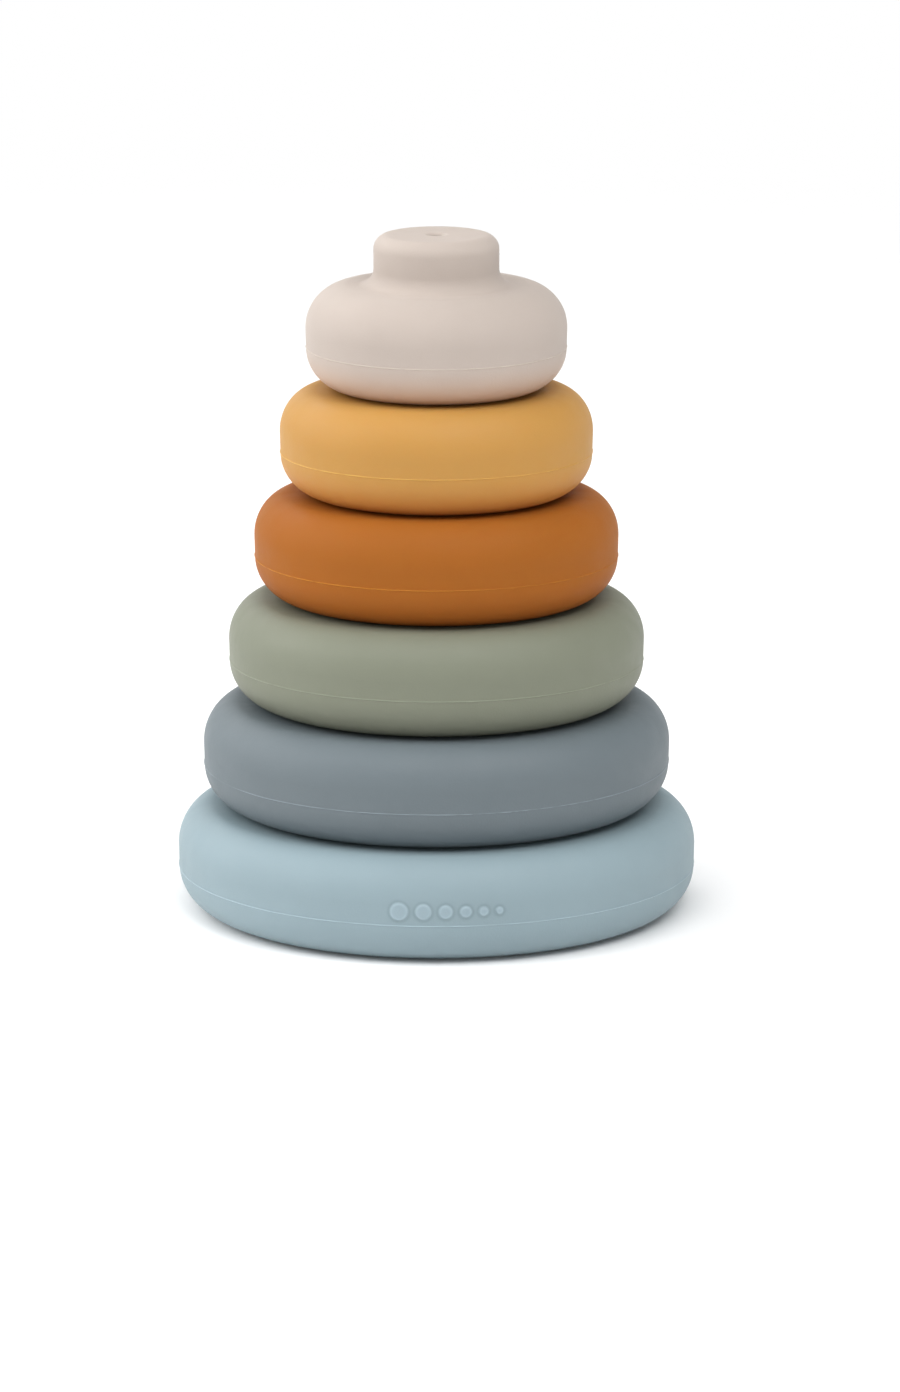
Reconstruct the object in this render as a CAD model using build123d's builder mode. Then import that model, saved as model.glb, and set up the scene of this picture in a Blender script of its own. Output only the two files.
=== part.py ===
from build123d import *
from math import cos, radians, sin
import os

# A stacking tower toy: six soft mouldings of round outline, each one solid of revolution.
# Every moulding has a stud on top and a matching blind socket underneath, so the stud of one
# fills the socket of the next, and a vent hole up through the stud lets the trapped air out.
# Millimetres, +Z up. The origin is the centre of the base's underside, and the front is -Y.

# The tower
BASE_RADIUS = 50.0
RADIUS_STEP = 5.0
TIER_HEIGHT = 20.25

# The outline that all the mouldings share, from the underside up
FOOT_WIDTH = 8.4  # the quarter ellipse between the underside and the parting line
SEAM_HEIGHT = 8.25  # the parting line's height above the underside
SIDE_DRAFT = 0.1  # how much the side leans in from its top down to the parting line
FLASH_HEIGHT = 0.12  # the raised line that the mould leaves at its parting line
FLASH_WIDTH = 0.3
SHOULDER_WIDTH = 6.9  # the quarter ellipse between the side and the top face
SHOULDER_HEIGHT = 8.0
TOP_SHOULDER_WIDTH = 8.0  # the smallest moulding has a slightly fuller shoulder
TOP_SHOULDER_HEIGHT = 8.3

# The stud, its vent and the socket that takes it
STUD_RADIUS = 12.0
STUD_HEIGHT = 9.6
STUD_EDGE = 2.8  # rounding of the stud's top edge
STUD_FILLET = 3.0  # concave fillet at the stud's foot
VENT_RADIUS = 1.3
VENT_RIM = 1.1  # rounding of the vent's mouth
SOCKET_CLEARANCE = 0.2  # between the stud and the socket's wall
SOCKET_HEADROOM = 0.4  # between the stud's top and the socket's roof
SOCKET_LEAD_IN = 3.2  # rounding of the socket's mouth, which clears the stud's fillet
SOCKET_EDGE = 2.4  # rounding between the socket's wall and its roof

# The row of raised dots on the front of the base, largest first
DOT_COUNT = 6
FIRST_DOT_RADIUS = 1.85
DOT_RADIUS_STEP = 0.2
DOT_GAP = 1.1
DOT_RELIEF = 0.25
DOT_ROOT = 0.8  # how deep a dot's cylinder reaches into the wall that it stands on
DOT_CENTRE_HEIGHT = 10.9
DOT_ROW_CENTRE = 2.0  # the row sits this far to the right of the middle, along the wall

# From the bottom of the tower to its top
TIERS = ["base_ring", "ring_blue_grey", "ring_sage", "ring_caramel", "ring_ochre", "top_ring"]

socket_radius = STUD_RADIUS + SOCKET_CLEARANCE
socket_depth = STUD_HEIGHT + SOCKET_HEADROOM


def moulding(radius, floor, shoulder_width, shoulder_height):
    """One moulding: its half section, drawn upward from the height of its underside, revolved."""
    section_plane = Plane((0, 0, floor), x_dir=(1, 0, 0), z_dir=(0, -1, 0))
    stud_top = TIER_HEIGHT + STUD_HEIGHT
    stud_flat = STUD_RADIUS - STUD_EDGE
    stud_foot = STUD_RADIUS + STUD_FILLET
    side_top = TIER_HEIGHT - shoulder_height
    seam_radius = radius - SIDE_DRAFT
    flash_top = SEAM_HEIGHT + FLASH_WIDTH / 2
    flash_bottom = SEAM_HEIGHT - FLASH_WIDTH / 2
    flash_tip = (seam_radius + FLASH_HEIGHT, SEAM_HEIGHT)
    mouth_radius = socket_radius + SOCKET_LEAD_IN
    roof_flat = socket_radius - SOCKET_EDGE

    with BuildPart() as body:
        with BuildSketch(section_plane):
            with BuildLine():
                # vent and stud
                Line((VENT_RADIUS, socket_depth), (VENT_RADIUS, stud_top - VENT_RIM))
                CenterArc((VENT_RADIUS + VENT_RIM, stud_top - VENT_RIM), VENT_RIM, 180, -90)
                Line((VENT_RADIUS + VENT_RIM, stud_top), (stud_flat, stud_top))
                CenterArc((stud_flat, stud_top - STUD_EDGE), STUD_EDGE, 90, -90)
                Line((STUD_RADIUS, stud_top - STUD_EDGE), (STUD_RADIUS, TIER_HEIGHT + STUD_FILLET))
                CenterArc((stud_foot, TIER_HEIGHT + STUD_FILLET), STUD_FILLET, 180, 90)
                # top face, shoulder and side
                Line((stud_foot, TIER_HEIGHT), (radius - shoulder_width, TIER_HEIGHT))
                shoulder_centre = (radius - shoulder_width, side_top)
                EllipticalCenterArc(shoulder_centre, shoulder_width, shoulder_height, 0, arc_size=90)
                Line((radius, side_top), (seam_radius, flash_top))
                # the flash line, and the rounding under it
                ThreePointArc((seam_radius, flash_top), flash_tip, (seam_radius, flash_bottom))
                foot_centre = (seam_radius - FOOT_WIDTH, flash_bottom)
                EllipticalCenterArc(foot_centre, FOOT_WIDTH, flash_bottom, 270, arc_size=90)
                # underside and socket
                Line((seam_radius - FOOT_WIDTH, 0), (mouth_radius, 0))
                CenterArc((mouth_radius, SOCKET_LEAD_IN), SOCKET_LEAD_IN, 270, -90)
                Line((socket_radius, SOCKET_LEAD_IN), (socket_radius, socket_depth - SOCKET_EDGE))
                CenterArc((roof_flat, socket_depth - SOCKET_EDGE), SOCKET_EDGE, 0, 90)
                Line((roof_flat, socket_depth), (VENT_RADIUS, socket_depth))
            make_face()
        revolve(axis=Axis.Z)
    return body.part


def dot_places():
    """Radius and place along the wall of each raised dot, from the left, with the row's middle at 0."""
    radii = [FIRST_DOT_RADIUS - DOT_RADIUS_STEP * i for i in range(DOT_COUNT)]
    row_length = 2 * sum(radii) + DOT_GAP * (DOT_COUNT - 1)
    places = []
    start = -row_length / 2
    for r in radii:
        places.append((r, start + r))
        start += 2 * r + DOT_GAP
    return places


def wall_plane(along):
    """A plane facing out of the base's wall, just under its surface, this far to the right of the front."""
    angle = radians(-90) + along / BASE_RADIUS
    outward = Vector(cos(angle), sin(angle), 0)
    origin = outward * (BASE_RADIUS - DOT_ROOT) + Vector(0, 0, DOT_CENTRE_HEIGHT)
    return Plane(origin, z_dir=outward)


os.makedirs("parts", exist_ok=True)

for level, name in enumerate(TIERS):
    tier_radius = BASE_RADIUS - RADIUS_STEP * level
    tier_floor = TIER_HEIGHT * level
    if name == "top_ring":
        blank = moulding(tier_radius, tier_floor, TOP_SHOULDER_WIDTH, TOP_SHOULDER_HEIGHT)
    else:
        blank = moulding(tier_radius, tier_floor, SHOULDER_WIDTH, SHOULDER_HEIGHT)
    with BuildPart() as tier:
        add(blank)
        if name == "base_ring":
            for dot_radius, along in dot_places():
                with BuildSketch(wall_plane(DOT_ROW_CENTRE + along)):
                    Circle(dot_radius)
                extrude(amount=DOT_ROOT + DOT_RELIEF)
    tier.part.label = name
    export_step(tier.part, f"parts/{name}.step")
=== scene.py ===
import math
import random

import bpy
import numpy as np
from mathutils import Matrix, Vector


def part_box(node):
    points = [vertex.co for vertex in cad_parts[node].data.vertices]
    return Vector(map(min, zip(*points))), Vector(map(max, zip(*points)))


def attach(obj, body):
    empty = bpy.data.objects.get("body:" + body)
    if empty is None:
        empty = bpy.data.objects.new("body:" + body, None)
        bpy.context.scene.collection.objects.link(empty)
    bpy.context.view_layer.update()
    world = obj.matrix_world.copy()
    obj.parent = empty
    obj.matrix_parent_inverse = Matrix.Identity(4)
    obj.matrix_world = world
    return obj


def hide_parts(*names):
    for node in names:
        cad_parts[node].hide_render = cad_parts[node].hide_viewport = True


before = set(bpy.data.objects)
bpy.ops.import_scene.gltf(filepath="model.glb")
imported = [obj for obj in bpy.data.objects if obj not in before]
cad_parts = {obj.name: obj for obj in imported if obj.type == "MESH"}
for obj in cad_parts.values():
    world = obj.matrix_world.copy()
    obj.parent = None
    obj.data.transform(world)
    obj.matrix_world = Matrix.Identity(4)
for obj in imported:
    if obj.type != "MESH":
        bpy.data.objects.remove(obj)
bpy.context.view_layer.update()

# A stacking tower of six soft silicone mouldings. Each CAD solid is replaced by a fine mesh of the
# same outline, with the small faults of a real moulding: an uneven parting line that isn't quite
# level, walls that aren't quite true, and a matt, faintly mottled skin.
# Sizes are in millimetres until a mesh is made, and the frame's metres after that.

MM = 0.001

# ---------------------------------------------------------------- the outline, as in the CAD
FOOT_WIDTH = 8.4
SEAM_HEIGHT = 8.25
SIDE_DRAFT = 0.1
FLASH_HEIGHT = 0.12
FLASH_WIDTH = 0.3
STUD_RADIUS = 12.0
STUD_HEIGHT = 9.6
STUD_EDGE = 2.8
STUD_FILLET = 3.0
VENT_RADIUS = 1.3
VENT_RIM = 1.1
SOCKET_RADIUS = 12.2
SOCKET_DEPTH = 10.0
SOCKET_LEAD_IN = 3.2
SOCKET_EDGE = 2.4
SHOULDER = (6.9, 8.0)  # its width and height
TOP_SHOULDER = (8.0, 8.3)
TIER_HEIGHT = (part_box("ring_blue_grey")[0].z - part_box("base_ring")[0].z) / MM
FRONT = -math.pi / 2  # the angle of the -Y side about the tower's axis

# the row of raised dots on the front of the base, as in the CAD
DOT_COUNT = 6
FIRST_DOT_RADIUS = 1.85
DOT_RADIUS_STEP = 0.2
DOT_GAP = 1.1
DOT_RELIEF = 0.25
DOT_CENTRE_HEIGHT = 10.9
DOT_ROW_CENTRE = 2.0

# what the CAD's dots don't have: a soft edge, a painted highlight on the face and rim, and a faint painted
# shade line just outside
DOT_EDGE = 0.35
DOT_PAINTED_HIGHLIGHT = 0.35
DOT_RIM_PAINTED_HIGHLIGHT = 0.35
DOT_RIM_WIDTH = 0.22
DOT_PAINTED_SHADE = 0.35
DOT_PAINTED_SHADE_AWAY = 0.2
DOT_PAINTED_SHADE_WIDTH = 0.25

# ---------------------------------------------------------------- the small faults
# waves round a ring: the most and the fewest turns, and their size
SEAM_RIPPLE = (40, 7, 0.012)
FLASH_RIPPLE = (90, 12, 0.006)
WALL_RIPPLE = (9, 2, 0.018)
LEAN_RIPPLE = (12, 3, 0.014)
RIPPLE_DEPTH = 6  # how far in from the outline the waves in the wall die away
FLASH_RANGE = (0.015, 0.15)  # how far the flash may stand out once it is nicked

# breaks in the flash: their number, the bearings between which they lie, their widths and depths
TRIMMING = (44, (0, 360), (0.5, 2.2), (0.1, 0.6))
TEARS = (26, (0.35, 1.0), (0.3, 0.9))  # a torn stretch has bearings of its own
RUBBED = (4, (-75, -48), (4, 8), (0.4, 0.7))

# ---------------------------------------------------------------- how fine the meshes are
COLUMNS = 440
BASE_COLUMNS = 210  # round the rest of the base, beside the close ones across its dots
CLOSE_STEP = 0.16  # degrees between the close columns
CLOSE_HALF = 15  # degrees to each side of the middle of the dots
CLOSE_MIDDLE = 2.3
ROWS = (12, 32)  # down the side, and over the shoulder
BASE_ROWS = (34, 72)


# ---------------------------------------------------------------- camera
CAMERA_DISTANCE = 1.312
CAMERA_TILT = math.radians(13.03)
CAMERA_AIM_HEIGHT = 0.0409
CAMERA_ASIDE = 0.0026


def make_camera():
    """A long lens from the front, a little above the tower."""
    data = bpy.data.cameras.new("camera")
    data.sensor_width = 36.0
    data.lens = 175.6
    data.clip_start, data.clip_end = 0.05, 60
    camera = bpy.data.objects.new("camera", data)
    bpy.context.scene.collection.objects.link(camera)
    back, rise = CAMERA_DISTANCE * math.cos(CAMERA_TILT), CAMERA_DISTANCE * math.sin(CAMERA_TILT)
    camera.location = (CAMERA_ASIDE, -back, CAMERA_AIM_HEIGHT + rise)
    camera.rotation_euler = (math.pi / 2 - CAMERA_TILT, 0, 0)
    bpy.context.scene.camera = camera


make_camera()


# ---------------------------------------------------------------- outlines
def steps(start, end, count):
    """count values from start towards end, without the end, so that stretches join without doubling."""
    return start + (end - start) * np.arange(count) / count


def line(start, end, count):
    """A straight stretch of an outline; each coordinate may be a number or one value for each column."""
    t = np.arange(count) / count
    r0, z0, r1, z1 = (np.atleast_1d(v)[:, None] for v in (*start, *end))
    return r0 + (r1 - r0) * t, z0 + (z1 - z0) * t


def ridge(wall, middle, height, half, count):
    """A smooth ridge standing out of a wall, from its upper side down to its lower side."""
    t = steps(1, -1, count)
    bump = (1 + np.cos(math.pi * t)) / 2
    return wall + np.atleast_1d(height)[:, None] * bump, np.atleast_1d(middle)[:, None] + half * t


def arc(centre, radii, start, end, count):
    """A stretch of an ellipse whose axes lie along r and z, from one angle to another in degrees."""
    angle = np.radians(steps(start, end, count))
    r, z, wide, high = (np.atleast_1d(v)[:, None] for v in (*centre, *radii))
    return r + wide * np.cos(angle), z + high * np.sin(angle)


def section(radius, shoulder, seam, flash, side_rows, shoulder_rows):
    """The half section of a moulding as r and z, one row of points for each column round it.
    seam and flash hold the parting line's height and how far it stands out at each column. The number
    that ends each stretch is how many points it gets."""
    shoulder_width, shoulder_height = shoulder
    top = TIER_HEIGHT + STUD_HEIGHT
    side_top = TIER_HEIGHT - shoulder_height
    wall = radius - SIDE_DRAFT
    half = FLASH_WIDTH / 2
    mouth = SOCKET_RADIUS + SOCKET_LEAD_IN
    roof = SOCKET_RADIUS - SOCKET_EDGE
    stretches = [
        line((VENT_RADIUS, SOCKET_DEPTH), (VENT_RADIUS, top - VENT_RIM), 4),
        arc((VENT_RADIUS + VENT_RIM, top - VENT_RIM), (VENT_RIM, VENT_RIM), 180, 90, 8),
        line((VENT_RADIUS + VENT_RIM, top), (STUD_RADIUS - STUD_EDGE, top), 6),
        arc((STUD_RADIUS - STUD_EDGE, top - STUD_EDGE), (STUD_EDGE, STUD_EDGE), 90, 0, 14),
        line((STUD_RADIUS, top - STUD_EDGE), (STUD_RADIUS, TIER_HEIGHT + STUD_FILLET), 6),
        arc((STUD_RADIUS + STUD_FILLET, TIER_HEIGHT + STUD_FILLET), (STUD_FILLET, STUD_FILLET), 180, 270, 14),
        line((STUD_RADIUS + STUD_FILLET, TIER_HEIGHT), (radius - shoulder_width, TIER_HEIGHT), 5),
        arc((radius - shoulder_width, side_top), (shoulder_width, shoulder_height), 90, 0, shoulder_rows),
        line((radius, side_top), (wall, seam + half), side_rows),
        ridge(wall, seam, flash, half, 12),
        arc((wall - FOOT_WIDTH, seam - half), (FOOT_WIDTH, seam - half), 0, -90, 34),
        line((wall - FOOT_WIDTH, 0), (mouth, 0), 5),
        arc((mouth, SOCKET_LEAD_IN), (SOCKET_LEAD_IN, SOCKET_LEAD_IN), 270, 180, 12),
        line((SOCKET_RADIUS, SOCKET_LEAD_IN), (SOCKET_RADIUS, SOCKET_DEPTH - SOCKET_EDGE), 4),
        arc((roof, SOCKET_DEPTH - SOCKET_EDGE), (SOCKET_EDGE, SOCKET_EDGE), 0, 90, 8),
        line((roof, SOCKET_DEPTH), (VENT_RADIUS, SOCKET_DEPTH), 3),
    ]
    columns = len(seam)
    r = np.concatenate([np.broadcast_to(s[0], (columns, s[0].shape[1])) for s in stretches], axis=1)
    z = np.concatenate([np.broadcast_to(s[1], (columns, s[1].shape[1])) for s in stretches], axis=1)
    return r, z


# ---------------------------------------------------------------- small faults
def ripple(angles, seed, most, fewest, size):
    """A smooth unevenness that closes on itself: every whole number of waves from fewest to most."""
    draw = random.Random(seed)
    waves = np.zeros_like(angles)
    for turns in range(fewest, most + 1):
        waves += draw.uniform(-1, 1) * np.sin(turns * angles + draw.uniform(0, math.tau)) / math.sqrt(turns)
    return waves * size


def nicks(angles, seed, count, stretch, widths, depths):
    """Short breaks, between two bearings in degrees, where the flash was trimmed or torn away."""
    draw = random.Random(seed)
    left = np.ones_like(angles)
    for _ in range(count):
        place = FRONT + math.radians(draw.uniform(*stretch))
        width = math.radians(draw.uniform(*widths))
        depth = draw.uniform(*depths)
        away = (angles - place + math.pi) % math.tau - math.pi
        left *= 1 - depth * np.exp(-((away / width) ** 2))
    return left


def parting_line(angles, seed, front_rise, right_rise, torn):
    """Height of the parting line and how far its flash stands out, at each column."""
    level = SEAM_HEIGHT + right_rise * np.cos(angles) - front_rise * np.sin(angles)
    height = level + ripple(angles, seed, *SEAM_RIPPLE)
    whole = nicks(angles, seed + 1, *TRIMMING)
    if torn:
        count, widths, depths = TEARS
        whole *= nicks(angles, seed + 6, count, torn, widths, depths)
        whole *= nicks(angles, seed + 7, *RUBBED)
    out = FLASH_HEIGHT * whole + ripple(angles, seed + 2, *FLASH_RIPPLE)
    return height, np.clip(out, *FLASH_RANGE)


def soften(r, z, angles, radius, seed):
    """Walls a few hundredths of a millimetre out of true, fading to nothing on the top and underneath."""
    around = ripple(angles, seed + 3, *WALL_RIPPLE)[:, None]
    leaning = ripple(angles, seed + 4, *LEAN_RIPPLE)[:, None]
    height = np.clip(z / TIER_HEIGHT, 0, 1)
    on_wall = np.clip((r - (radius - RIPPLE_DEPTH)) / RIPPLE_DEPTH, 0, 1)
    return r + on_wall * (around + leaning * (2 * height - 1))


def dots(angles, z):
    """The base's raised dots: how far they stand out of its wall at each point, and the painted light on them
    there: a painted highlight on each dot's face and rim, and a faint painted shade line round each one."""
    radii = [FIRST_DOT_RADIUS - DOT_RADIUS_STEP * i for i in range(DOT_COUNT)]
    start = DOT_ROW_CENTRE - sum(radii) - DOT_GAP * (DOT_COUNT - 1) / 2
    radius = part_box("base_ring")[1].x / MM
    turn = (angles - FRONT + math.pi) % math.tau - math.pi
    along = (turn * radius)[:, None]
    relief, dot_painted_light = np.zeros_like(z), np.zeros_like(z)
    for dot in radii:
        away = np.hypot(along - (start + dot), z - DOT_CENTRE_HEIGHT)
        t = np.clip((dot - away) / DOT_EDGE, 0, 1)
        relief = np.maximum(relief, DOT_RELIEF * t * t * (3 - 2 * t))
        rim = np.exp(-(((away - dot + DOT_EDGE) / DOT_RIM_WIDTH) ** 2))
        painted_shade_line = np.exp(-(((away - dot - DOT_PAINTED_SHADE_AWAY) / DOT_PAINTED_SHADE_WIDTH) ** 2))
        # painted highlight on face and rim, minus a painted shade line just outside
        dot_painted_light += DOT_PAINTED_HIGHLIGHT * t + DOT_RIM_PAINTED_HIGHLIGHT * rim - DOT_PAINTED_SHADE * painted_shade_line
        start += 2 * dot + DOT_GAP
    return relief, dot_painted_light


# ---------------------------------------------------------------- meshes
PAINTED_SHADE_REACH = 9.0  # height over which painted shade deepens the colour towards the underside (on the top ring, painted warm bounce light)
PAINTED_SHADE_CURVE = 1.5
SIDE_DEPTH = 2  # a point this near to the outline belongs to the side
SEAM_HIGHLIGHT_FADE_BEARING = math.radians(-20)  # the front right, where some parting lines hardly show, so their painted highlight is faded there


def even_columns():
    """The angles of columns evenly spaced round a ring."""
    return FRONT + math.tau * np.arange(COLUMNS) / COLUMNS


def base_columns():
    """Columns close together across the raised dots, and evenly spaced round the rest of the base."""
    half, step = math.radians(CLOSE_HALF), math.radians(CLOSE_STEP)
    close = FRONT + math.radians(CLOSE_MIDDLE) + np.arange(-half, half, step)
    rest = steps(close[-1] + step, close[0] + math.tau, BASE_COLUMNS)
    return np.concatenate([close, rest])


def lathe(name, angles, r, z, floor, raised):
    """A closed ring of quads from the columns of r and z. raised tells the material where to paint light on
    what stands out (a painted highlight on the flash and dots, a painted shade line round the dots), and low
    how near to the underside a point is, for the painted shade there."""
    columns, rows = r.shape
    x, y = r * np.cos(angles)[:, None], r * np.sin(angles)[:, None]
    points = np.stack([x, y, z + floor], axis=2).reshape(-1, 3) * MM
    column, row = np.meshgrid(np.arange(columns), np.arange(rows), indexing="ij")
    beside, below = (column + 1) % columns, (row + 1) % rows
    corners = [(column, row), (column, below), (beside, below), (beside, row)]
    faces = np.stack([c * rows + w for c, w in corners], axis=2).reshape(-1, 4)
    mesh = bpy.data.meshes.new(name)
    mesh.from_pydata(points.tolist(), [], faces.tolist())
    mesh.polygons.foreach_set("use_smooth", [True] * len(faces))
    mesh.attributes.new("raised", "FLOAT", "POINT").data.foreach_set("value", raised.ravel())
    # low drives painted shade: the colour deepens towards the underside, where each ring sits in the shade of
    # the ring above and below
    low = np.clip(1 - z / PAINTED_SHADE_REACH, 0, 1) ** PAINTED_SHADE_CURVE
    mesh.attributes.new("low", "FLOAT", "POINT").data.foreach_set("value", low.ravel())
    mesh.update()
    piece = bpy.data.objects.new(name, mesh)
    bpy.context.scene.collection.objects.link(piece)
    return piece


def moulding(node, material, seed, shoulder, front_rise, right_rise, torn, seam_highlight_fade):
    """The visual piece for one CAD node, in place of it and riding on its body. The last argument is how much
    of the parting line's painted highlight is faded on the side of the bearing set at the front right."""
    low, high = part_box(node)
    radius = high.x / MM - (FLASH_HEIGHT - SIDE_DRAFT)
    is_base = node == "base_ring"
    angles = base_columns() if is_base else even_columns()
    seam, flash = parting_line(angles, seed, front_rise, right_rise, torn)
    r, z = section(radius, shoulder, seam, flash, *(BASE_ROWS if is_base else ROWS))
    on_side = r > radius - SIDE_DEPTH
    on_flash = (np.abs(z - seam[:, None]) < FLASH_WIDTH / 2) * on_side
    # painted highlight: the flash is painted paler in proportion to how far it stands out, faded towards the
    # front right
    raised = on_flash * (r - radius + SIDE_DRAFT) / FLASH_HEIGHT
    raised = raised * (1 - seam_highlight_fade * (0.5 + 0.5 * np.cos(angles - SEAM_HIGHLIGHT_FADE_BEARING)))[:, None]
    r = soften(r, z, angles, radius, seed)
    if is_base:
        # the dots' painted highlight and painted shade go into the same mask
        relief, dot_painted_light = dots(angles, z)
        raised = raised + dot_painted_light * on_side
        r = r + relief * on_side
    piece = lathe(node.replace("ring", "moulding"), angles, r, z, low.z / MM, np.clip(raised, -1, 1))
    piece.data.materials.append(material)
    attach(piece, node)
    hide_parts(node)


# ---------------------------------------------------------------- materials
COOL_GLOW = (0.0018, 0.0018, 0.0018)
WARM_GLOW = (0.0030, 0.0016, 0.0009)
PAINTED_RELIEF_HUE_TURN = 0.015  # how far the hue turns with the painted light on raised lines and dots, as part of a full turn
MOTTLE = (0.98, 1.02)  # how much darker and lighter the colour gets
MOTTLE_SCALE = 45
ROUGHNESS = (0.5, 0.62)
ROUGHNESS_SCALE = 160
SKIN_DEPTH = 0.0001
SKIN_SCALE = 2600


def silicone(name, seed, colour, painted_shade_and_bounce, gloss, glow, painted_relief_light):
    """Matt moulded silicone: one colour with a faint mottle, a fine skin, and a broad soft gloss. Raised
    lines carry a painted highlight, paler and with a yellower hue, and the base's dots a painted shade line
    round them. Towards the underside the colour is multiplied by a painted shade factor, which on the top
    ring is painted warm bounce light from the ring below. glow is how far red, green and blue travel inside."""
    material = bpy.data.materials.new(name)
    material.use_nodes = True
    tree = material.node_tree
    nodes, links = tree.nodes, tree.links
    shader = nodes["Principled BSDF"]
    shader.inputs["Subsurface Weight"].default_value = 0.3
    shader.inputs["Subsurface Radius"].default_value = glow
    shader.inputs["Subsurface Scale"].default_value = 1.0
    shader.inputs["IOR"].default_value = 1.42
    shader.inputs["Specular IOR Level"].default_value = gloss

    place = nodes.new("ShaderNodeTexCoord")
    shift = nodes.new("ShaderNodeMapping")
    shift.inputs["Location"].default_value = (seed * 0.37, seed * 0.61, seed * 0.23)
    links.new(place.outputs["Object"], shift.inputs["Vector"])

    def noise(scale, detail, roughness):
        node = nodes.new("ShaderNodeTexNoise")
        node.inputs["Scale"].default_value = scale
        node.inputs["Detail"].default_value = detail
        node.inputs["Roughness"].default_value = roughness
        links.new(shift.outputs["Vector"], node.inputs["Vector"])
        return node.outputs["Fac"]

    def spread(value, low, high):
        node = nodes.new("ShaderNodeMapRange")
        node.inputs["From Min"].default_value = 0.3
        node.inputs["From Max"].default_value = 0.7
        node.inputs["To Min"].default_value = low
        node.inputs["To Max"].default_value = high
        links.new(value, node.inputs["Value"])
        return node.outputs["Result"]

    low = nodes.new("ShaderNodeAttribute")
    low.attribute_name = "low"
    # painted shade towards the underside (painted warm bounce light on the top ring), mixed in by the low
    # attribute
    body = nodes.new("ShaderNodeMixRGB")
    body.inputs["Color1"].default_value = (*colour, 1)
    body.inputs["Color2"].default_value = (*(c * d for c, d in zip(colour, painted_shade_and_bounce)), 1)
    links.new(low.outputs["Fac"], body.inputs["Fac"])
    tint = nodes.new("ShaderNodeHueSaturation")
    links.new(body.outputs["Color"], tint.inputs["Color"])
    # painted light on raised lines and dots: a painted highlight, paler and with its hue turned, and a
    # painted shade line round the dots
    raised = nodes.new("ShaderNodeAttribute")
    raised.attribute_name = "raised"
    painted_relief_value = nodes.new("ShaderNodeMath")
    painted_relief_value.operation = "MULTIPLY_ADD"
    painted_relief_value.inputs[1].default_value = painted_relief_light
    links.new(raised.outputs["Fac"], painted_relief_value.inputs[0])
    links.new(spread(noise(MOTTLE_SCALE, 3, 0.5), *MOTTLE), painted_relief_value.inputs[2])
    links.new(painted_relief_value.outputs["Value"], tint.inputs["Value"])
    painted_relief_hue = nodes.new("ShaderNodeMath")
    painted_relief_hue.operation = "MULTIPLY_ADD"
    painted_relief_hue.inputs[1].default_value = PAINTED_RELIEF_HUE_TURN
    painted_relief_hue.inputs[2].default_value = 0.5
    links.new(raised.outputs["Fac"], painted_relief_hue.inputs[0])
    links.new(painted_relief_hue.outputs["Value"], tint.inputs["Hue"])
    links.new(tint.outputs["Color"], shader.inputs["Base Color"])
    links.new(spread(noise(ROUGHNESS_SCALE, 4, 0.6), *ROUGHNESS), shader.inputs["Roughness"])

    fine = nodes.new("ShaderNodeBump")
    fine.inputs["Strength"].default_value = 0.3
    fine.inputs["Distance"].default_value = SKIN_DEPTH
    links.new(noise(SKIN_SCALE, 2, 0.6), fine.inputs["Height"])
    links.new(fine.outputs["Normal"], shader.inputs["Normal"])
    return material


# ---------------------------------------------------------------- stage and lights
FLOOR_ALBEDO = 0.92
FLOOR_SOLID = 0.45  # metres from the tower at which the floor begins to fade, and at which it is gone
FLOOR_GONE = 0.95
SKY_OVERHEAD = 0.05
SKY_HORIZON = 1.0
SKY_FALL = (0.1, 0.6)  # how far up the surround begins and stops growing darker
LIGHT_REACH = 2.0
LIGHT_AIM = Vector((0, 0, 0.06))
# name, bearing, height, size in metres, power in watts
SOFTBOXES = [
    ("back_left", -135, 35, (1.8, 0.9), 13.6),
    ("left", -90, 25, (1.8, 0.9), 19.9),
    ("front_left", -45, 52, (1.8, 0.9), 15.6),
    ("front_right", 38, 52, (1.8, 0.9), 27.5),
    ("overhead", 0, 88, (1.4, 1.4), 13.5),
]


def make_floor():
    """A white paper floor that fades into the white surround well away from the tower, so that low
    views have no horizon line."""
    mesh = bpy.data.meshes.new("floor")
    near, far = -FLOOR_GONE, FLOOR_GONE
    mesh.from_pydata([(near, near, 0), (far, near, 0), (far, far, 0), (near, far, 0)], [], [(0, 1, 2, 3)])
    floor = bpy.data.objects.new("floor", mesh)
    bpy.context.scene.collection.objects.link(floor)
    material = bpy.data.materials.new("floor_paper")
    material.use_nodes = True
    nodes, links = material.node_tree.nodes, material.node_tree.links
    shader = nodes["Principled BSDF"]
    shader.inputs["Base Color"].default_value = (FLOOR_ALBEDO, FLOOR_ALBEDO, FLOOR_ALBEDO, 1)
    shader.inputs["Roughness"].default_value = 0.9
    place = nodes.new("ShaderNodeTexCoord")
    away = nodes.new("ShaderNodeVectorMath")
    away.operation = "LENGTH"
    links.new(place.outputs["Object"], away.inputs[0])
    fade = nodes.new("ShaderNodeMapRange")
    fade.interpolation_type = "SMOOTHSTEP"
    fade.inputs["From Min"].default_value = FLOOR_SOLID
    fade.inputs["From Max"].default_value = FLOOR_GONE
    links.new(away.outputs["Value"], fade.inputs["Value"])
    blend = nodes.new("ShaderNodeMixShader")
    links.new(fade.outputs["Result"], blend.inputs["Fac"])
    links.new(shader.outputs["BSDF"], blend.inputs[1])
    links.new(nodes.new("ShaderNodeBsdfTransparent").outputs["BSDF"], blend.inputs[2])
    links.new(blend.outputs["Shader"], nodes["Material Output"].inputs["Surface"])
    mesh.materials.append(material)


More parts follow.
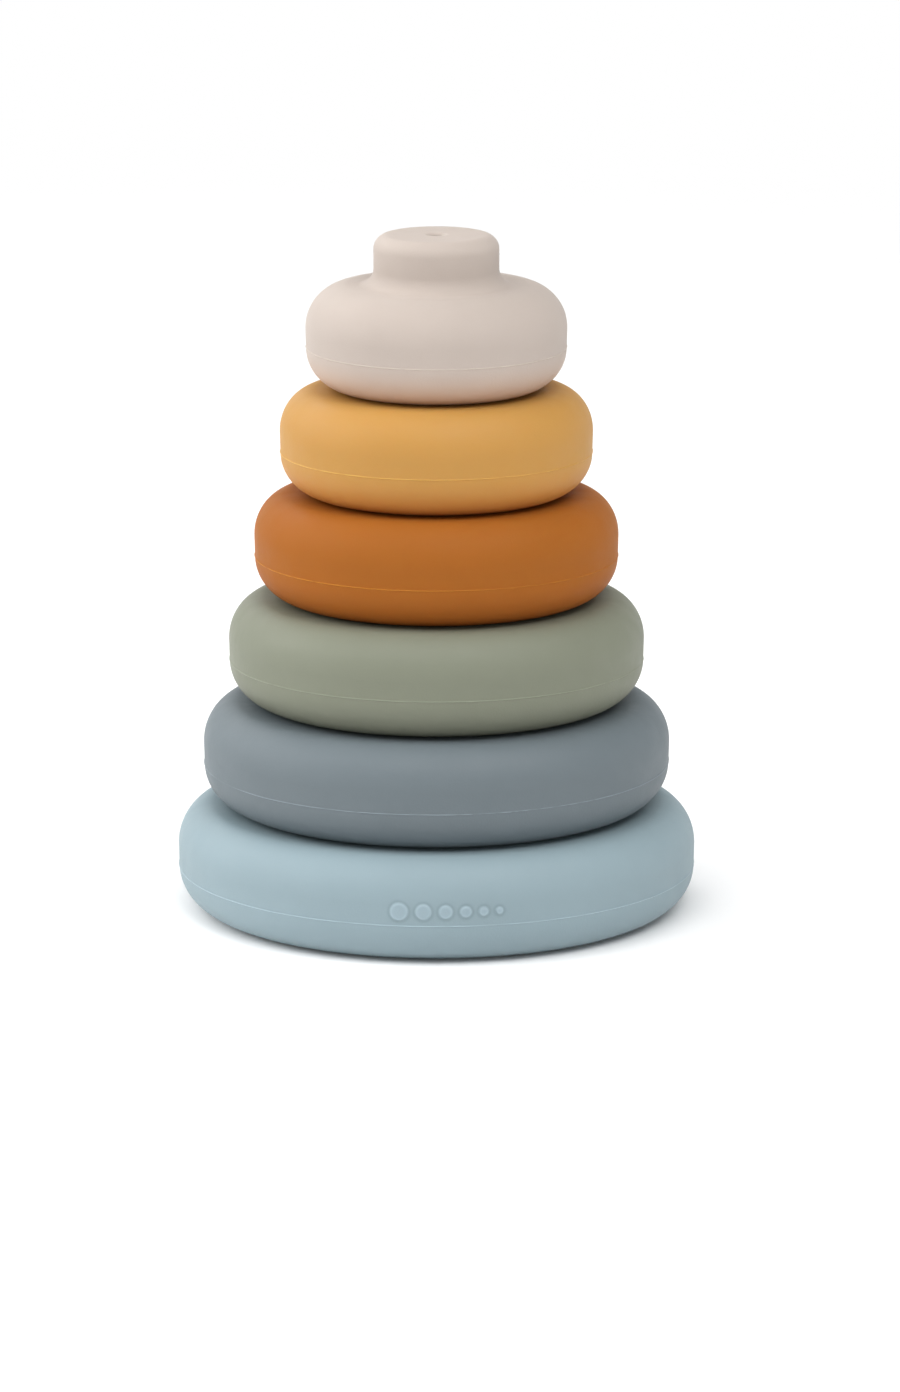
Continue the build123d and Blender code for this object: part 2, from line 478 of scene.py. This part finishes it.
def make_softbox(name, bearing, height, size, power):
    """A softbox LIGHT_REACH from the tower. Its bearing is in degrees from the front towards the right,
    and its height in degrees above the floor."""
    data = bpy.data.lights.new(name, "AREA")
    data.shape = "RECTANGLE"
    data.size, data.size_y = size
    data.energy = power
    lamp = bpy.data.objects.new(name, data)
    lamp.visible_camera = False
    bpy.context.scene.collection.objects.link(lamp)
    around, up = math.radians(bearing), math.radians(height)
    away = Vector((math.sin(around) * math.cos(up), -math.cos(around) * math.cos(up), math.sin(up)))
    lamp.location = LIGHT_AIM + away * LIGHT_REACH
    lamp.rotation_euler = (-away).to_track_quat("-Z", "Y").to_euler()


def make_sky():
    """A white surround that is brightest at the horizon, so that it meets the floor without a line."""
    world = bpy.data.worlds.new("studio")
    world.use_nodes = True
    nodes, links = world.node_tree.nodes, world.node_tree.links
    place = nodes.new("ShaderNodeTexCoord")
    axes = nodes.new("ShaderNodeSeparateXYZ")
    links.new(place.outputs["Generated"], axes.inputs["Vector"])
    nodes["Background"].inputs["Color"].default_value = (1, 1, 1, 1)
    fall = nodes.new("ShaderNodeMapRange")
    fall.interpolation_type = "SMOOTHSTEP"
    fall.inputs["From Min"].default_value, fall.inputs["From Max"].default_value = SKY_FALL
    fall.inputs["To Min"].default_value = SKY_HORIZON
    fall.inputs["To Max"].default_value = SKY_OVERHEAD
    links.new(axes.outputs["Z"], fall.inputs["Value"])
    links.new(fall.outputs["Result"], nodes["Background"].inputs["Strength"])
    bpy.context.scene.world = world


# ---------------------------------------------------------------- the tower
# node: colour, the painted shade it is multiplied by low down (on the top ring a painted warm bounce light
# from the ring below), gloss, glow, and how strong the painted highlight on the parting line is (on the base
# also the painted light of its dots)
SKINS = {
    "base_ring": ((0.237, 0.310, 0.340), (0.98, 0.97, 0.97), 0.3, COOL_GLOW, 0.34),
    "ring_blue_grey": ((0.127, 0.1535, 0.1675), (0.88, 0.88, 0.89), 0.4, COOL_GLOW, 0.6),
    "ring_sage": ((0.180, 0.192, 0.143), (0.85, 0.82, 0.84), 0.38, COOL_GLOW, 0.26),
    "ring_caramel": ((0.303, 0.0983, 0.0144), (0.9, 0.76, 0.8), 0.1, WARM_GLOW, 0.6),
    "ring_ochre": ((0.438, 0.229, 0.0555), (1.14, 0.8, 0.7), 0.3, WARM_GLOW, 0.34),
    "top_ring": ((0.424, 0.367, 0.328), (1.3, 1.02, 0.83), 0.12, COOL_GLOW, 0.1),
}
# node, seed, shoulder, how far the parting line rises at the front and at the right, the bearings between
# which its flash is torn, and how far its painted highlight fades at the right
TIERS = [
    ("base_ring", 11, SHOULDER, -0.12, 0.0, None, 0.0),
    ("ring_blue_grey", 22, SHOULDER, -0.10, 0.18, (5, 42), 0.0),
    ("ring_sage", 33, SHOULDER, 0.20, 0.0, None, 0.0),
    ("ring_caramel", 44, SHOULDER, 0.12, 0.0, None, 0.75),
    ("ring_ochre", 55, SHOULDER, 0.05, 0.0, None, 0.6),
    ("top_ring", 66, TOP_SHOULDER, -0.14, 0.0, None, 0.0),
]

for node, seed, *form in TIERS:
    skin = silicone(node + "_silicone", seed, *SKINS[node])
    moulding(node, skin, seed, *form)

make_floor()
make_sky()
for softbox in SOFTBOXES:
    make_softbox(*softbox)
bpy.context.scene.view_settings.view_transform = "Standard"
